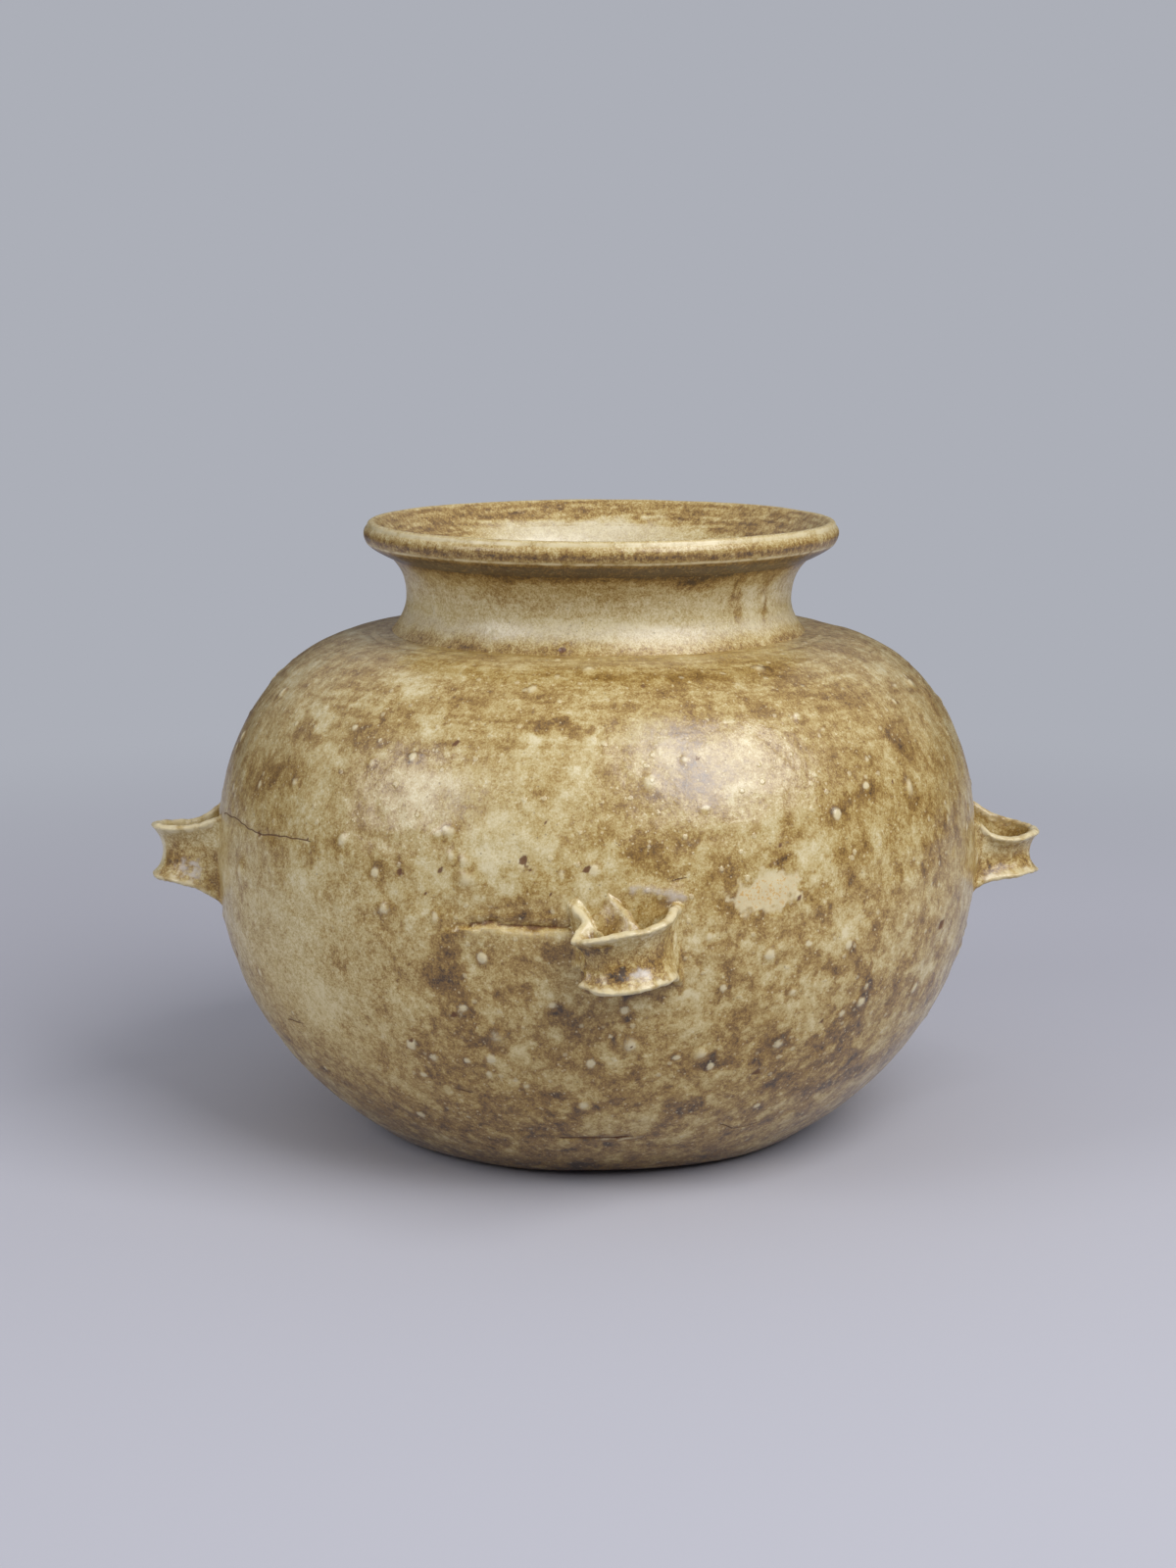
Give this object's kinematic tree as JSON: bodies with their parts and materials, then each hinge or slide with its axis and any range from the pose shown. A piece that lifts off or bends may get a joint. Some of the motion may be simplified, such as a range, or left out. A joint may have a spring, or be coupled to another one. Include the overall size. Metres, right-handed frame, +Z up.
{
  "type": "glazed four lug storage jar",
  "caption": "Round-bellied glazed stoneware jar with a short waisted neck, rolled everted rim, flat base and small clay strap lugs round the belly.",
  "frame": {"origin": "centre of the flat base, where the jar stands", "axes": "+Z up along the jar's axis, -Y towards the front lug, +X towards the right lug"},
  "size_m": [0.2895, 0.2895, 0.1991],
  "materials": {
    "glaze": "glossy mottled yellow-brown glaze over stoneware",
    "bare_clay": "matt fired stoneware clay"
  },
  "bodies": {
    "root": {"base_disc": "bare_clay", "lower_body": "glaze", "upper_body": "glaze", "neck": "glaze", "rim": "glaze", "lug_front": "glaze", "lug_right": "glaze", "lug_back": "glaze", "lug_left": "glaze"}
  },
  "joints": []
}
